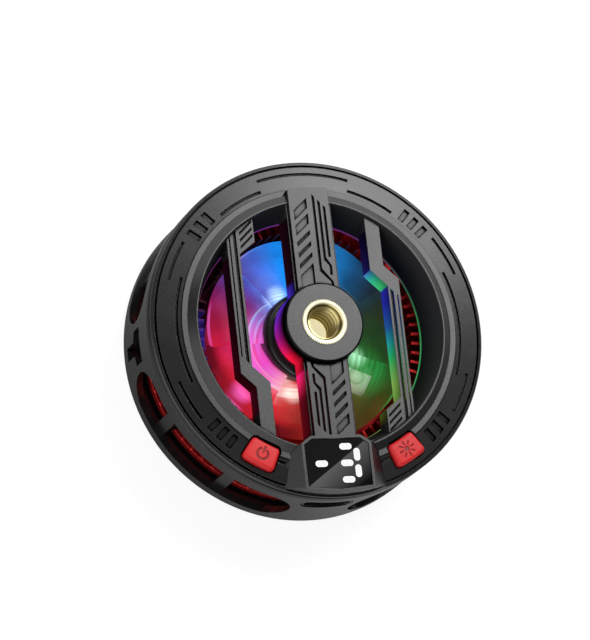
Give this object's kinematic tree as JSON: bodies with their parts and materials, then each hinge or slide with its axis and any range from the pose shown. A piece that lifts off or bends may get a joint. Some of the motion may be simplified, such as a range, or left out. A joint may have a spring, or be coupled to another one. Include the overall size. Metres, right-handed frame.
{
  "type": "phone cooling fan",
  "caption": "Round magnetic phone cooler with a lit fan behind a barred grille, brass tripod thread, display, red buttons, finned heatsink and cold plate.",
  "frame": {"origin": "centre of the cold plate's face at the back of the cooler", "axes": "+Z out of the grille along the fan's axis, the display and the socket at -Y"},
  "size_m": [0.06, 0.06, 0.0222],
  "materials": {
    "charcoal_plastic": "fine satin grain",
    "bridge_plastic": "fine satin grain",
    "brass": "machined",
    "window_black": "polished",
    "segment_white": "frosted",
    "button_red": "silky",
    "black_plastic": "plain",
    "steel": "plated",
    "board_green": "solder mask",
    "board_white": "solder mask",
    "soft_rubber": "matte",
    "foam": "closed cell",
    "plate_aluminium": "brushed",
    "magnet_nickel": "nickel plated",
    "magnet_dark": "sintered",
    "ceramic": "fired",
    "fin_red": "red anodised",
    "copper": "enamelled",
    "clear_plastic": "clear, faintly frosted",
    "wire_red": "sheath",
    "wire_black": "sheath"
  },
  "bodies": {
    "housing": {"front_ring": "charcoal_plastic", "centre_bridge": "bridge_plastic", "threaded_insert": "brass", "display_window": "window_black", "display_segments": "segment_white", "display_module": "board_white", "display_pins": "steel", "power_switch": "steel", "light_switch": "steel", "main_board": "board_green", "board_chips": "black_plastic", "usb_shell": "steel", "usb_tongue": "black_plastic", "side_shell": "charcoal_plastic", "vent_posts": "charcoal_plastic", "back_cover": "charcoal_plastic", "contact_ring": "soft_rubber", "cold_plate": "plate_aluminium", "magnets": "magnet_nickel", "case_screws": "steel", "heatsink_screws": "steel", "module_cold_face": "ceramic", "module_pellets": "magnet_dark", "module_hot_face": "ceramic", "foam_gasket": "foam", "heatsink": "fin_red", "motor_board": "board_white", "light_chips": "segment_white", "bearing_bush": "brass", "stator_core": "steel", "stator_coils": "copper", "module_leads": "wire_red", "fan_leads": "wire_black"},
    "fan": {"impeller": "clear_plastic", "rotor_magnet": "magnet_dark", "rotor_shaft": "steel"},
    "power_key": {"power_button": "button_red", "power_plunger": "black_plastic"},
    "light_key": {"light_button": "button_red", "light_plunger": "black_plastic"}
  },
  "joints": [
    {"name": "fan_spin", "type": "hinge", "parent": "housing", "child": "fan", "pos_m": [0, 0, 0.009], "axis": [0, 0, 1], "continuous": true},
    {"name": "power_press", "type": "slide", "parent": "housing", "child": "power_key", "axis": [0, 0, -1], "range_m": [0, 0.0004], "stiffness_N_per_m": 2500},
    {"name": "light_press", "type": "slide", "parent": "housing", "child": "light_key", "axis": [0, 0, -1], "range_m": [0, 0.0004], "stiffness_N_per_m": 2500}
  ]
}
